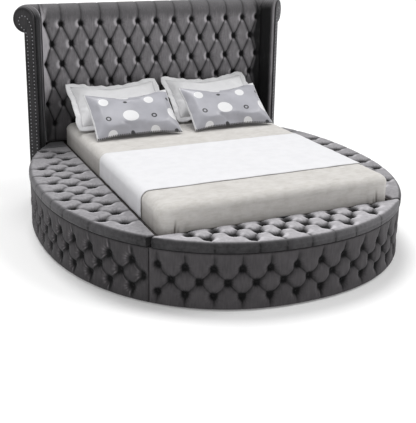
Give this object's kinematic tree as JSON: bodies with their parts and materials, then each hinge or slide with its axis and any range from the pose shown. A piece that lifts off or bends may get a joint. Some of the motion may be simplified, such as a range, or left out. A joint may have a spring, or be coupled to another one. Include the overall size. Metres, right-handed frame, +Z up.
{
  "type": "bed",
  "caption": "Round-ended storage bed with tufted lift-up bench lids, curved tufted skirts, a winged roll-top headboard, mattress and bedding.",
  "frame": {"origin": "on the floor under the middle of the bed's overall length and width", "axes": "+Y from the foot towards the headboard, +Z up, +X to the right as seen from the foot"},
  "size_m": [2.4138, 2.574, 1.447],
  "materials": {
    "carcass_timber": "raw plywood and softwood",
    "slat_wood": "planed pine",
    "zinc_steel": "zinc plated",
    "black_steel": "black powder coat",
    "glide_plastic": "moulded",
    "nail_chrome": "polished domed heads",
    "ticking": "quilted ticking",
    "sheet_cloth": "smooth cotton",
    "throw_cloth": "soft white cloth",
    "pillow_cloth": "white cotton",
    "satin_print": null,
    "velvet_plain": "dark grey velvet",
    "velvet": "grey velvet"
  },
  "bodies": {
    "bed": {"left_box_walls": "carcass_timber", "left_box_floor": "carcass_timber", "left_skirt": "velvet", "left_skirt_buttons": "velvet", "left_rear_deck": "velvet_plain", "foot_box_walls": "carcass_timber", "foot_box_floor": "carcass_timber", "foot_skirt": "velvet", "foot_skirt_buttons": "velvet", "right_box_walls": "carcass_timber", "right_box_floor": "carcass_timber", "right_skirt": "velvet", "right_skirt_buttons": "velvet", "right_rear_deck": "velvet_plain", "head_rail": "carcass_timber", "slat_ledges": "carcass_timber", "centre_beam": "carcass_timber", "centre_legs": "black_steel", "slats": "slat_wood", "floor_glides": "glide_plastic", "corner_brackets": "zinc_steel", "fixed_hinge_leaves": "zinc_steel", "hinge_pins": "zinc_steel", "headboard_frame": "carcass_timber", "headboard_panel": "carcass_timber", "headboard_pad": "velvet", "headboard_buttons": "velvet", "headboard_back_cover": "velvet_plain", "headboard_bolts": "zinc_steel", "left_wing_core": "carcass_timber", "left_wing_pad": "velvet", "left_wing_cover": "velvet_plain", "left_wing_facing": "velvet", "left_wing_nails": "nail_chrome", "right_wing_core": "carcass_timber", "right_wing_pad": "velvet", "right_wing_cover": "velvet_plain", "right_wing_facing": "velvet", "right_wing_nails": "nail_chrome", "mattress": "ticking", "fitted_sheet": "sheet_cloth", "throw": "throw_cloth", "left_back_pillow": "pillow_cloth", "right_back_pillow": "pillow_cloth", "left_front_pillow": "satin_print", "right_front_pillow": "satin_print"},
    "left_lid": {"left_lid_board": "carcass_timber", "left_lid_cushion": "velvet", "left_lid_buttons": "velvet", "left_lid_hinge_leaves": "zinc_steel"},
    "foot_lid": {"foot_lid_board": "carcass_timber", "foot_lid_cushion": "velvet", "foot_lid_buttons": "velvet", "foot_lid_hinge_leaves": "zinc_steel"},
    "right_lid": {"right_lid_board": "carcass_timber", "right_lid_cushion": "velvet", "right_lid_buttons": "velvet", "right_lid_hinge_leaves": "zinc_steel"}
  },
  "joints": [
    {"name": "left_lid_hinge", "type": "hinge", "parent": "bed", "child": "left_lid", "pos_m": [-0.78205, 0, 0.3925], "axis": [0, 1, 0], "range_deg": [0, 75]},
    {"name": "foot_lid_hinge", "type": "hinge", "parent": "bed", "child": "foot_lid", "pos_m": [0, -0.96102, 0.3925], "axis": [-1, 0, 0], "range_deg": [0, 75]},
    {"name": "right_lid_hinge", "type": "hinge", "parent": "bed", "child": "right_lid", "pos_m": [0.78205, 0, 0.3925], "axis": [0, -1, 0], "range_deg": [0, 75]}
  ]
}
